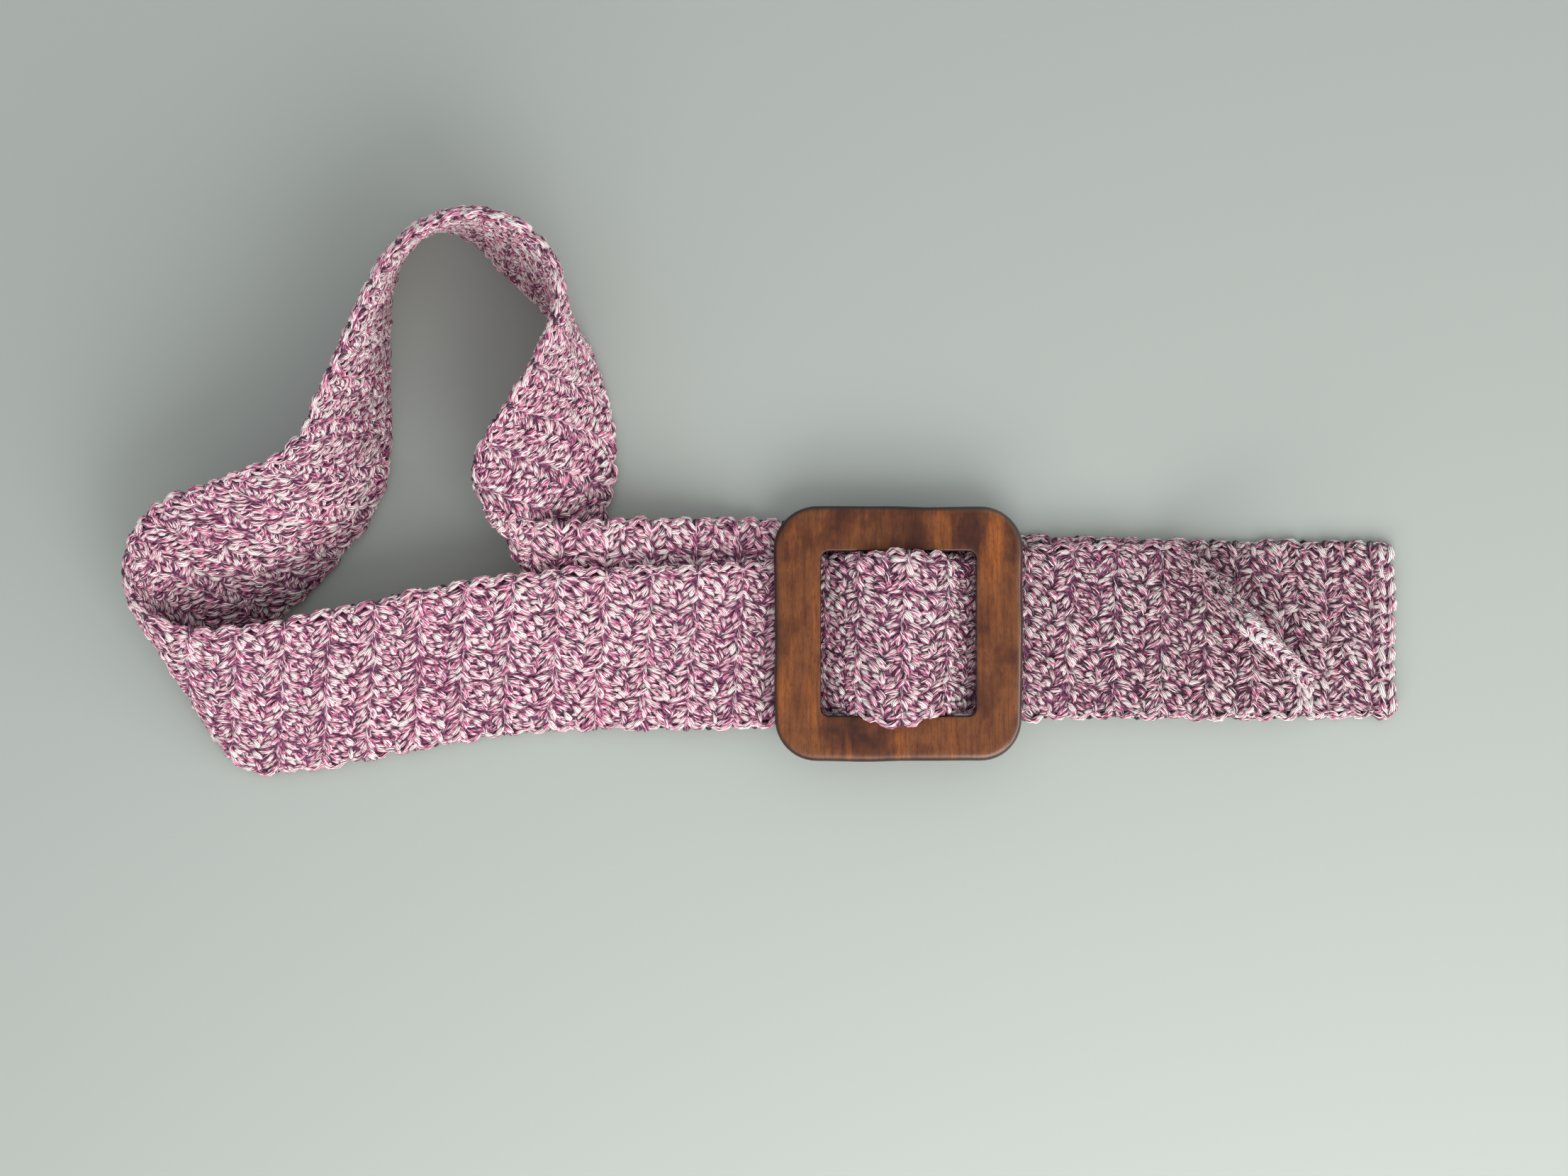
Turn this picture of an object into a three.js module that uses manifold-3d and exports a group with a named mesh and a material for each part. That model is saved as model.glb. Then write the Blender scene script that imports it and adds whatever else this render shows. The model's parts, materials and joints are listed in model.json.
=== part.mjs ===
// Crochet belt, laid down with its square slide buckle closed.
// Sizes in millimetres, +Z up. Positions are first given from the middle of the buckle
// at table height, and the whole is then moved so that its origin is the middle of the
// bottom of the space it takes up.

import * as THREE from 'three';
import Module from 'manifold-3d';
import { mergeVertices } from 'three/addons/utils/BufferGeometryUtils.js';

// Strap: one long crocheted band
const STRAP_THICKNESS = 4.5;
const EDGE_ROUNDING = 1.6;
const STATION_STEP = 6;
const TIP_STATION_STEP = 4;
const COLUMNS_ACROSS = 12;
// The bends between these rows of the course are eased after the curve is drawn
const EASING_PASSES = 4;
const FIRST_EASED_ROW = 15;
const LAST_EASED_ROW = 55;

// Rolled corner of the upper tip: the flat corner is rolled up about a slanted line
const ROLL_LINE_START = { x: 78, y: 28 };
const ROLL_LINE_END = { x: 128, y: -24 };
const ROLL_RADIUS = 5.5;
const ROLL_ANGLE = THREE.MathUtils.degToRad(102);

// Buckle: a square frame with a plain bar across its middle
const BUCKLE_LENGTH = 76;
const BUCKLE_WIDTH = 78;
const BUCKLE_THICKNESS = 6.9;
const BUCKLE_UNDERSIDE = 9.6;
const BUCKLE_CORNER_RADIUS = 13;
const BUCKLE_EDGE_ROUNDING = 2.2;
const WINDOW_LENGTH = 47.5;
const WINDOW_WIDTH = 50.5;
const WINDOW_CORNER_RADIUS = 2.5;
const MIDDLE_BAR_LENGTH = 11;
const OUTER_CORNER_STEPS = 8;
const WINDOW_CORNER_STEPS = 4;
const ROUNDING_STEPS = 3;

// Points nearer than this are one point when solids are cut
const MERGE_DISTANCE = 1e-4;

// Course of the strap from the upper tip to the lower tip. Each row is one straight line
// across the strap: its raised edge (x, y, height) and its resting edge (x, y, height),
// on the middle surface of the cloth. A height under the rest height means that the edge
// lies on the table.
const COURSE_COLUMNS = ['raisedX', 'raisedY', 'raisedZ', 'restingX', 'restingY', 'restingZ'];
const COURSE_ROWS = [
  // upper tip, lying on the lower layer
  [128, 28, 7.05, 128, -26, 7.05],
  [64, 28, 7.05, 64, -26, 7.05],
  [41, 26.5, 7.05, 41, -26.5, 7.05],
  // under the right side of the frame, over the middle bar, under the left side
  [31, 25, 7.05, 31, -25.5, 7.05],
  [22.5, 24.5, 7.05, 22.5, -24.8, 7.05],
  [16, 24.2, 12, 16, -24.8, 12],
  [10, 24.4, 17.8, 10, -25.2, 17.8],
  [5, 25.3, 19.4, 5, -27.5, 19.4],
  [-5, 25.3, 19.4, -5, -27.5, 19.4],
  [-10, 24.4, 17.8, -10, -25.2, 17.8],
  [-16, 24.2, 12, -16, -24.8, 12],
  [-22.5, 24, 7.05, -22.5, -25, 7.05],
  [-31, 23.8, 7.05, -31, -26, 7.05],
  [-41, 22.5, 8, -40, -28.5, 7.05],
  // front strap, leaning with its far edge raised
  [-58, 21, 15.5, -57, -29.5, 5.5],
  [-80, 20, 20.5, -79.5, -29.5, 3.6],
  [-101, 19.5, 24.5, -101, -29.5, 2.3],
  [-122, 17.5, 26.5, -122, -31, 0],
  [-153, 11.5, 28, -149.5, -36, 0],
  [-176.5, 6, 29, -172.5, -40.5, 0],
  [-197, 2, 30, -189, -43.5, 0],
  // left bend
  [-215, 1.5, 31, -199.5, -43, 0],
  [-230, 6.5, 31.5, -206.5, -40, 0],
  [-235, 19, 32, -212.5, -27.5, 0],
  [-230, 32.5, 34.5, -209.5, -13.5, 0],
  // left limb, standing and leaning outwards
  [-217, 41, 40.5, -202, -3, 0],
  [-198.5, 46.5, 47.5, -189.5, 6.5, 0],
  [-182, 51.5, 52, -176, 21, 0],
  [-175, 59.5, 52.5, -165.5, 32.5, 0],
  [-171.5, 68.5, 52.5, -159, 45, 0],
  [-166, 80, 53.5, -158.5, 62, 0],
  [-161, 90, 54.5, -159.5, 79.5, 0],
  [-155, 102.5, 54.5, -160, 97, 0],
  // arch at the far end, on edge
  [-148, 114, 54.5, -158.5, 113, 0],
  [-138.5, 121, 54.5, -152, 125.5, 0],
  [-126.5, 124, 54.5, -140, 129.5, 0],
  [-114, 121.5, 54, -127.5, 120, 0],
  [-104.5, 115, 53.5, -118.5, 109, 0],
  [-100, 105.5, 54.5, -108.5, 100.5, 0],
  // twist, from leaning outwards to leaning inwards
  [-100, 96, 55, -101, 95, 0],
  [-104, 86, 54.5, -96.5, 88, 0],
  [-110, 75, 53, -93, 79, 0],
  [-118, 65, 49, -89, 67, 0],
  [-124.5, 57, 44.5, -87, 54.5, 0],
  [-127, 49.5, 42.5, -89, 42.5, 0],
  // turn back towards the buckle
  [-127, 44.5, 41, -94, 27, 0],
  [-125.5, 40, 38, -99.5, 9.5, 0],
  [-123, 37, 32.5, -102, -6.5, 0],
  [-119, 35, 28, -97.5, -15.5, 0],
  [-112, 34, 25.5, -89.5, -18.5, 0],
  // back strap, settling flat under the front strap and the buckle
  [-101.5, 34, 23, -80.5, -18.8, 0],
  [-80, 35, 17, -67, -19, 0],
  [-58.5, 35.2, 10, -54, -19, 0],
  [-38.5, 35, 4.2, -37.5, -19.5, 0],
  [0, 33, 0, 0, -21.8, 0],
  [41, 30, 0, 41, -24.5, 0],
  [96, 28.5, 0, 96, -26, 0],
  // lower tip
  [154, 28, 0, 154.5, -26, 0],
];

// One edge of the strap as a list of points, from three neighbouring columns of the course
function edgePoints(name) {
  const first = COURSE_COLUMNS.indexOf(`${name}X`);
  return COURSE_ROWS.map((row) => new THREE.Vector3(row[first], row[first + 1], row[first + 2]));
}

// Eases the bends of the free loop: each pass moves a station half way to its neighbours
function easeStations(stations) {
  for (let pass = 0; pass < EASING_PASSES; pass += 1) {
    const before = stations.map((station) => ({
      raised: station.raised.clone(),
      resting: station.resting.clone(),
    }));
    stations.forEach((station, index) => {
      if (station.row < FIRST_EASED_ROW || station.row >= LAST_EASED_ROW) {
        return;
      }
      for (const edge of ['raised', 'resting']) {
        const neighbours = before[index - 1][edge].clone().lerp(before[index + 1][edge], 0.5);
        station[edge].lerp(neighbours, 0.5);
      }
    });
  }
}

// Smooth stations along the strap. Each one holds its two edges, and an edge never goes
// below the height at which the tilted cloth touches the table.
function makeStations() {
  const raised = edgePoints('raised');
  const resting = edgePoints('resting');
  const raisedCurve = new THREE.CatmullRomCurve3(raised, false, 'centripetal');
  const restingCurve = new THREE.CatmullRomCurve3(resting, false, 'centripetal');
  const lastRow = raised.length - 1;
  const stations = [];
  for (let row = 0; row < lastRow; row += 1) {
    const raisedRun = raised[row].distanceTo(raised[row + 1]);
    const restingRun = resting[row].distanceTo(resting[row + 1]);
    const step = row === 0 ? TIP_STATION_STEP : STATION_STEP;
    const parts = Math.max(1, Math.round(Math.max(raisedRun, restingRun) / step));
    for (let part = 0; part < parts; part += 1) {
      const place = (row + part / parts) / lastRow;
      stations.push({ row, raised: raisedCurve.getPoint(place), resting: restingCurve.getPoint(place) });
    }
  }
  stations.push({ row: lastRow, raised: raised[lastRow].clone(), resting: resting[lastRow].clone() });
  easeStations(stations);
  for (const station of stations) {
    const across = station.raised.clone().sub(station.resting);
    const level = Math.hypot(across.x, across.y) / across.length();
    const restHeight = (STRAP_THICKNESS / 2) * level;
    station.raised.z = Math.max(station.raised.z, restHeight);
    station.resting.z = Math.max(station.resting.z, restHeight);
  }
  return stations;
}

// Outline of the cloth cut across: positions from edge to edge and heights over the middle
// surface, with a rounded nose at each edge.
function crossSection(width) {
  const loop = [];
  const nose = EDGE_ROUNDING / width;
  for (let column = 0; column <= COLUMNS_ACROSS; column += 1) {
    loop.push({ share: nose + ((1 - 2 * nose) * column) / COLUMNS_ACROSS, over: STRAP_THICKNESS / 2 });
  }
  loop.push({ share: 1, over: 0 });
  for (let column = COLUMNS_ACROSS; column >= 0; column -= 1) {
    loop.push({ share: nose + ((1 - 2 * nose) * column) / COLUMNS_ACROSS, over: -STRAP_THICKNESS / 2 });
  }
  loop.push({ share: 0, over: 0 });
  return loop;
}

// Rolls a point of the flat upper tip, `over` above the middle surface, about the roll line
function rollCorner(point, over) {
  const line = new THREE.Vector2(
    ROLL_LINE_END.x - ROLL_LINE_START.x,
    ROLL_LINE_END.y - ROLL_LINE_START.y,
  ).normalize();
  const towardsCorner = new THREE.Vector2(-line.y, line.x);
  const beyond = (point.x - ROLL_LINE_START.x) * towardsCorner.x
    + (point.y - ROLL_LINE_START.y) * towardsCorner.y;
  if (beyond <= 0) {
    return point.clone().add(new THREE.Vector3(0, 0, over));
  }
  const angle = Math.min(beyond / ROLL_RADIUS, ROLL_ANGLE);
  const rest = beyond - ROLL_RADIUS * angle;
  const along = ROLL_RADIUS * Math.sin(angle) + rest * Math.cos(angle) - over * Math.sin(angle);
  const up = ROLL_RADIUS * (1 - Math.cos(angle)) + rest * Math.sin(angle) + over * Math.cos(angle);
  return new THREE.Vector3(
    point.x + (along - beyond) * towardsCorner.x,
    point.y + (along - beyond) * towardsCorner.y,
    point.z + up,
  );
}

function makeStrapGeometry() {
  const stations = makeStations();
  const onMiddle = (index, share) => {
    const station = stations[THREE.MathUtils.clamp(index, 0, stations.length - 1)];
    return station.resting.clone().lerp(station.raised, share);
  };
  const positions = [];
  const loopSize = crossSection(1).length;
  stations.forEach((station, index) => {
    const across = station.raised.clone().sub(station.resting);
    for (const corner of crossSection(across.length())) {
      const along = onMiddle(index + 1, corner.share).sub(onMiddle(index - 1, corner.share));
      const outward = across.clone().cross(along).normalize();
      const middle = onMiddle(index, corner.share);
      const isTip = middle.x > ROLL_LINE_START.x && middle.z > STRAP_THICKNESS;
      const point = isTip
        ? rollCorner(middle, corner.over)
        : middle.addScaledVector(outward, corner.over);
      positions.push(point.x, point.y, point.z);
    }
  });
  const indices = [];
  for (let index = 0; index < stations.length - 1; index += 1) {
    for (let corner = 0; corner < loopSize; corner += 1) {
      const next = (corner + 1) % loopSize;
      const here = index * loopSize;
      const there = here + loopSize;
      indices.push(here + corner, here + next, there + next);
      indices.push(here + corner, there + next, there + corner);
    }
  }
  // flat caps: the two faces are joined column by column, and the nose closes each side
  const capRows = [];
  for (let column = 0; column < COLUMNS_ACROSS; column += 1) {
    const under = loopSize - 2 - column;
    capRows.push([column, column + 1, under], [column + 1, under - 1, under]);
  }
  capRows.push([COLUMNS_ACROSS, COLUMNS_ACROSS + 1, COLUMNS_ACROSS + 2]);
  capRows.push([0, loopSize - 2, loopSize - 1]);
  const end = (stations.length - 1) * loopSize;
  for (const [a, b, c] of capRows) {
    indices.push(a, c, b);
    indices.push(end + a, end + b, end + c);
  }
  const geometry = new THREE.BufferGeometry();
  geometry.setAttribute('position', new THREE.Float32BufferAttribute(positions, 3));
  geometry.setIndex(indices);
  return geometry;
}

// Buckle
function roundedRectangle(length, width, radius, centreX = 0) {
  const left = centreX - length / 2;
  const right = centreX + length / 2;
  const bottom = -width / 2;
  const top = width / 2;
  const shape = new THREE.Shape();
  shape.moveTo(left + radius, bottom);
  shape.lineTo(right - radius, bottom);
  shape.absarc(right - radius, bottom + radius, radius, -Math.PI / 2, 0, false);
  shape.lineTo(right, top - radius);
  shape.absarc(right - radius, top - radius, radius, 0, Math.PI / 2, false);
  shape.lineTo(left + radius, top);
  shape.absarc(left + radius, top - radius, radius, Math.PI / 2, Math.PI, false);
  shape.lineTo(left, bottom + radius);
  shape.absarc(left + radius, bottom + radius, radius, Math.PI, Math.PI * 1.5, false);
  return shape;
}

const wasm = await Module();
wasm.setup();

function toSolid(geometry) {
  const bare = geometry.clone();
  bare.deleteAttribute('normal');
  bare.deleteAttribute('uv');
  const merged = mergeVertices(bare, MERGE_DISTANCE);
  return new wasm.Manifold(new wasm.Mesh({
    numProp: 3,
    vertProperties: new Float32Array(merged.attributes.position.array),
    triVerts: new Uint32Array(merged.index.array),
  }));
}

function toGeometry(solid) {
  const mesh = solid.getMesh();
  const geometry = new THREE.BufferGeometry();
  geometry.setAttribute('position', new THREE.Float32BufferAttribute(mesh.vertProperties, 3));
  geometry.setIndex(Array.from(mesh.triVerts));
  return geometry;
}

function makeBuckleGeometry() {
  const block = new THREE.ExtrudeGeometry(
    roundedRectangle(BUCKLE_LENGTH, BUCKLE_WIDTH, BUCKLE_CORNER_RADIUS),
    {
      depth: BUCKLE_THICKNESS - 2 * BUCKLE_EDGE_ROUNDING,
      bevelEnabled: true,
      bevelThickness: BUCKLE_EDGE_ROUNDING,
      bevelSize: BUCKLE_EDGE_ROUNDING,
      bevelOffset: -BUCKLE_EDGE_ROUNDING,
      bevelSegments: ROUNDING_STEPS,
      curveSegments: OUTER_CORNER_STEPS,
      steps: 1,
    },
  );
  block.translate(0, 0, BUCKLE_UNDERSIDE + BUCKLE_EDGE_ROUNDING);
  let solid = toSolid(block);
  const slotLength = (WINDOW_LENGTH - MIDDLE_BAR_LENGTH) / 2;
  for (const side of [-1, 1]) {
    const slot = new THREE.ExtrudeGeometry(
      roundedRectangle(
        slotLength,
        WINDOW_WIDTH,
        WINDOW_CORNER_RADIUS,
        side * (MIDDLE_BAR_LENGTH + slotLength) / 2,
      ),
      { depth: 2 * BUCKLE_THICKNESS, bevelEnabled: false, curveSegments: WINDOW_CORNER_STEPS, steps: 1 },
    );
    slot.translate(0, 0, BUCKLE_UNDERSIDE - BUCKLE_THICKNESS / 2);
    solid = solid.subtract(toSolid(slot));
  }
  return toGeometry(solid);
}

const cotton = new THREE.MeshStandardMaterial({ color: 0xa98597, roughness: 0.95, metalness: 0 });
const wood = new THREE.MeshStandardMaterial({ color: 0x6b3f2a, roughness: 0.5, metalness: 0 });

const strap = new THREE.Mesh(makeStrapGeometry(), cotton);
strap.name = 'strap';
const buckle = new THREE.Mesh(makeBuckleGeometry(), wood);
buckle.name = 'buckle';

const belt = new THREE.Group();
belt.name = 'crochet_belt';
belt.add(strap, buckle);

const bounds = new THREE.Box3().setFromObject(belt);
const middle = bounds.getCenter(new THREE.Vector3());
belt.position.set(-middle.x, -middle.y, -bounds.min.z);

export default belt;
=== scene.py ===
# %% [markdown]
# # A crocheted belt with a wooden slide buckle
# This lesson dresses a plain CAD frame as a hand-made belt. The CAD has two pieces: the
# strap, one long soft band laid in a loop, and the square buckle that it is threaded
# through. Both stay where the CAD put them; here they get yarn, stitches and wood.

# %% Load the frame
import json
import math
import random

import bpy
import numpy as np
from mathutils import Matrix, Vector

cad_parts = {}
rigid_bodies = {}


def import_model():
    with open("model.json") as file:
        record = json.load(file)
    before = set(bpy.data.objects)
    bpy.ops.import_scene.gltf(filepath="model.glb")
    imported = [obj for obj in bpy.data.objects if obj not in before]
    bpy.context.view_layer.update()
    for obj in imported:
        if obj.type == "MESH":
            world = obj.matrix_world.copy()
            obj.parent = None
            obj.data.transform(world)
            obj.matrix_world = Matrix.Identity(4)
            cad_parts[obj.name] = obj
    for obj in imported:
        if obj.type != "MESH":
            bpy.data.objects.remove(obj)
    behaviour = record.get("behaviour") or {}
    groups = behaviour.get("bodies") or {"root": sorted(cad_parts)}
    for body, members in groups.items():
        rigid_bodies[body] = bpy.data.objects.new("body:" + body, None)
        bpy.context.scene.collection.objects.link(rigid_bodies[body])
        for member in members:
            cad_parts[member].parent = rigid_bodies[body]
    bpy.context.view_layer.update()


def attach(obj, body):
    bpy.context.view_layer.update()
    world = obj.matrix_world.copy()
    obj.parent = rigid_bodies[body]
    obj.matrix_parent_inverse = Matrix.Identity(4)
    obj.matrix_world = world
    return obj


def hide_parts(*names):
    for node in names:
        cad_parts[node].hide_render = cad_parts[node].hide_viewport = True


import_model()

MM = 0.001

# %% [markdown]
# ## The camera
# The belt was photographed from straight above, so the raised loop looks a little larger
# than the flat ends. A camera in Blender that isn't turned at all looks down, with +Y at
# the top of the picture.

# %% Camera
CAMERA_HEIGHT = 0.800
CAMERA_X, CAMERA_Y = 0.00454, -0.02902
PICTURE_WIDTH_PIXELS = 2212
FOCAL_LENGTH_PIXELS = 3619

scene = bpy.context.scene
camera_data = bpy.data.cameras.new("camera")
camera_data.sensor_fit = "HORIZONTAL"
camera_data.sensor_width = 36.0
camera_data.lens = camera_data.sensor_width * FOCAL_LENGTH_PIXELS / PICTURE_WIDTH_PIXELS
camera = bpy.data.objects.new("camera", camera_data)
camera.location = (CAMERA_X, CAMERA_Y, CAMERA_HEIGHT)
scene.collection.objects.link(camera)
scene.camera = camera

# %% [markdown]
# ## Table and light
# A pale grey-green sheet under an even sky, which fills every shadow, one soft lamp close by
# on the near right, a long low card along the near side and another far off on the right.
# Because the lamp and the first card are close, the table is brightest along its near side.

# %% Table
FLOOR_SIZE = 6.0
FLOOR_COLOUR = (0.356, 0.382, 0.357, 1.0)


def new_material(name):
    """An empty Principled material, and its shader."""
    material = bpy.data.materials.new(name)
    material.use_nodes = True
    shader = material.node_tree.nodes["Principled BSDF"]
    return material, shader


def mesh_object(name, vertices, faces, material=None, smooth=True):
    """A mesh object at the origin, with its place in its mesh."""
    mesh = bpy.data.meshes.new(name)
    mesh.from_pydata([tuple(v) for v in vertices], [], [tuple(f) for f in faces])
    mesh.update()
    if smooth:
        mesh.shade_smooth()
    if material:
        mesh.materials.append(material)
    made = bpy.data.objects.new(name, mesh)
    scene.collection.objects.link(made)
    return made


floor_material, floor_shader = new_material("pale_table")
floor_shader.inputs["Base Color"].default_value = FLOOR_COLOUR
floor_shader.inputs["Roughness"].default_value = 0.9
half = FLOOR_SIZE / 2
corners = [(-half, -half, 0), (half, -half, 0), (half, half, 0), (-half, half, 0)]
floor = mesh_object("table", corners, [(0, 1, 2, 3)], floor_material, smooth=False)

# %% Light
SKY_STRENGTH, SKY_COLOUR = 0.85, (0.95, 0.98, 1.0, 1.0)
LAMP_COLOUR = (1.0, 0.985, 0.96)
LAMPS = [
    # name, power in watts, size across and along in metres, place, what it points at
    ("window", 2.05, (0.42, 0.42), (0.18, -0.42, 0.55), (0.0, 0.0, 0.0)),
    ("low_card", 2.2, (0.9, 0.2), (0.10, -0.55, 0.30), (0.06, -0.16, 0.0)),
    ("right_card", 3.4, (0.8, 0.3), (1.0, -0.4, 0.40), (0.0, 0.0, 0.0)),
]

world = bpy.data.worlds.new("room")
world.use_nodes = True
sky = world.node_tree.nodes["Background"].inputs
sky["Color"].default_value = SKY_COLOUR
sky["Strength"].default_value = SKY_STRENGTH
scene.world = world

for name, power, size, place, target in LAMPS:
    lamp_data = bpy.data.lights.new(name, "AREA")
    lamp_data.shape = "RECTANGLE"
    lamp_data.energy = power
    lamp_data.size, lamp_data.size_y = size
    lamp_data.color = LAMP_COLOUR
    lamp = bpy.data.objects.new(name, lamp_data)
    lamp.location = place
    lamp.rotation_euler = (Vector(target) - Vector(place)).to_track_quat("-Z", "Y").to_euler()
    scene.collection.objects.link(lamp)
scene.view_settings.view_transform = "Standard"

# %% [markdown]
# ## The course of the strap
# The band is known by its rulings, straight lines across it: each row below holds the
# raised edge and the resting edge, in millimetres from the middle of the buckle at table
# height. They are the rows that the CAD was made from, so that the yarn lies exactly where
# the solid is. Smooth curves run through both edges, and the free loop is eased.

# %% Rows of the course
STRAP_THICKNESS = 4.5
STRAP_WIDTH = 54.0
STATION_STEP = 6.0
TIP_STATION_STEP = 4.0
EASING_PASSES = 4
FIRST_EASED_ROW, LAST_EASED_ROW = 15, 55
BUCKLE_MIDDLE = np.array([39.611, -42.971, 0.0017])

COURSE_ROWS = [
    # upper tip
    (128, 28, 7.05, 128, -26, 7.05), (64, 28, 7.05, 64, -26, 7.05),
    (41, 26.5, 7.05, 41, -26.5, 7.05),
    # through the buckle, over its middle bar
    (31, 25, 7.05, 31, -25.5, 7.05), (22.5, 24.5, 7.05, 22.5, -24.8, 7.05),
    (16, 24.2, 12, 16, -24.8, 12), (10, 24.4, 17.8, 10, -25.2, 17.8),
    (5, 25.3, 19.4, 5, -27.5, 19.4), (-5, 25.3, 19.4, -5, -27.5, 19.4),
    (-10, 24.4, 17.8, -10, -25.2, 17.8), (-16, 24.2, 12, -16, -24.8, 12),
    (-22.5, 24, 7.05, -22.5, -25, 7.05), (-31, 23.8, 7.05, -31, -26, 7.05),
    (-41, 22.5, 8, -40, -28.5, 7.05),
    # front strap
    (-58, 21, 15.5, -57, -29.5, 5.5), (-80, 20, 20.5, -79.5, -29.5, 3.6),
    (-101, 19.5, 24.5, -101, -29.5, 2.3), (-122, 17.5, 26.5, -122, -31, 0),
    (-153, 11.5, 28, -149.5, -36, 0), (-176.5, 6, 29, -172.5, -40.5, 0),
    (-197, 2, 30, -189, -43.5, 0),
    # left bend
    (-215, 1.5, 31, -199.5, -43, 0), (-230, 6.5, 31.5, -206.5, -40, 0),
    (-235, 19, 32, -212.5, -27.5, 0), (-230, 32.5, 34.5, -209.5, -13.5, 0),
    # left limb
    (-217, 41, 40.5, -202, -3, 0), (-198.5, 46.5, 47.5, -189.5, 6.5, 0),
    (-182, 51.5, 52, -176, 21, 0), (-175, 59.5, 52.5, -165.5, 32.5, 0),
    (-171.5, 68.5, 52.5, -159, 45, 0), (-166, 80, 53.5, -158.5, 62, 0),
    (-161, 90, 54.5, -159.5, 79.5, 0), (-155, 102.5, 54.5, -160, 97, 0),
    # arch
    (-148, 114, 54.5, -158.5, 113, 0), (-138.5, 121, 54.5, -152, 125.5, 0),
    (-126.5, 124, 54.5, -140, 129.5, 0), (-114, 121.5, 54, -127.5, 120, 0),
    (-104.5, 115, 53.5, -118.5, 109, 0), (-100, 105.5, 54.5, -108.5, 100.5, 0),
    # twist
    (-100, 96, 55, -101, 95, 0), (-104, 86, 54.5, -96.5, 88, 0),
    (-110, 75, 53, -93, 79, 0), (-118, 65, 49, -89, 67, 0),
    (-124.5, 57, 44.5, -87, 54.5, 0), (-127, 49.5, 42.5, -89, 42.5, 0),
    # turn back
    (-127, 44.5, 41, -94, 27, 0), (-125.5, 40, 38, -99.5, 9.5, 0),
    (-123, 37, 32.5, -102, -6.5, 0), (-119, 35, 28, -97.5, -15.5, 0),
    (-112, 34, 25.5, -89.5, -18.5, 0),
    # back strap and lower tip
    (-101.5, 34, 23, -80.5, -18.8, 0), (-80, 35, 17, -67, -19, 0),
    (-58.5, 35.2, 10, -54, -19, 0), (-38.5, 35, 4.2, -37.5, -19.5, 0),
    (0, 33, 0, 0, -21.8, 0), (41, 30, 0, 41, -24.5, 0), (96, 28.5, 0, 96, -26, 0),
    (154, 28, 0, 154.5, -26, 0),
]


# %% Smooth stations along the course
def lengths(vectors):
    return np.linalg.norm(vectors, axis=-1)


def unit(vectors):
    return vectors / lengths(vectors)[..., None]


def smooth_run(points, parts):
    """Centripetal Catmull-Rom curve through the points, with parts[i] steps in span i."""
    points = np.asarray(points, float)
    held = np.vstack([2 * points[0] - points[1], points, 2 * points[-1] - points[-2]])
    made = []
    for i in range(1, len(held) - 2):
        a, b, c, d = held[i - 1:i + 3]
        ab, bc, cd = lengths(np.diff([a, b, c, d], axis=0)) ** 0.5
        start = ((b - a) / ab - (c - a) / (ab + bc) + (c - b) / bc) * bc
        end = ((c - b) / bc - (d - b) / (bc + cd) + (d - c) / cd) * bc
        t = np.linspace(0, 1, parts[i - 1], endpoint=False)[:, None]
        made.append(
            (2 * t**3 - 3 * t**2 + 1) * b + (t**3 - 2 * t**2 + t) * start
            + (3 * t**2 - 2 * t**3) * c + (t**3 - t**2) * end
        )
    return np.vstack([*made, points[-1:]])


rows = np.array(COURSE_ROWS, float).reshape(-1, 2, 3)
runs = lengths(np.diff(rows, axis=0)).max(axis=1)
steps = [TIP_STATION_STEP] + [STATION_STEP] * (len(runs) - 1)
parts = [max(1, math.floor(run / step + 0.5)) for run, step in zip(runs, steps)]
edges = np.stack([smooth_run(rows[:, k], parts) for k in (0, 1)], axis=1)
row_of = np.concatenate([np.full(p, i) for i, p in enumerate(parts)] + [[len(runs)]])
eased = np.flatnonzero((row_of >= FIRST_EASED_ROW) & (row_of < LAST_EASED_ROW))
for _ in range(EASING_PASSES):
    middle = (edges[eased - 1] + edges[eased + 1]) / 2
    edges[eased] = (edges[eased] + middle) / 2
# where the band lies flat, its middle surface is half its thickness up
across = edges[:, 0] - edges[:, 1]
level = lengths(across[:, :2]) / lengths(across)
edges[:, :, 2] = np.maximum(edges[:, :, 2], STRAP_THICKNESS / 2 * level[:, None])

# %% [markdown]
# ## The cloth as a map
# Stitches were worked straight across the flat band, and the band was bent later. So a
# flat position is turned into a place in space: `along` is measured from the lower tip,
# `out` from the middle line. Where the loop bends, rulings are slanted on the cloth, and
# the two edges' own lengths say how much. One corner of the upper tip is rolled over, so
# points past a slanted line are wound round a cylinder.

# %% Finer stations, and the cloth beyond its ends
END_REACH = 16.0
FINE_STEPS = 4

fine_parts = [FINE_STEPS] * (len(edges) - 1)
fine = np.stack([smooth_run(edges[:, k], fine_parts) for k in (0, 1)], axis=1)
before = fine[0] + unit(fine[0] - fine[1]) * END_REACH
after = fine[-1] + unit(fine[-1] - fine[-2]) * END_REACH
run_lengths = np.cumsum(lengths(np.diff(fine, axis=0)), axis=0)
run_lengths = np.vstack([np.zeros((1, 2)), run_lengths])
STRAP_LENGTH = float(run_lengths[-1].mean())
print("edge lengths", run_lengths[-1].round(1), "strap length", round(STRAP_LENGTH, 1), "mm")

# %% Flat position to place in space
ROLL_LINE_START = np.array([78.0, 28.0])
ROLL_LINE_END = np.array([128.0, -24.0])
ROLL_RADIUS = 5.5
ROLL_ANGLE = math.radians(102)
MAP_STEP = 2.0
MAP_HALF_WIDTH = 33.0


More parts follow.
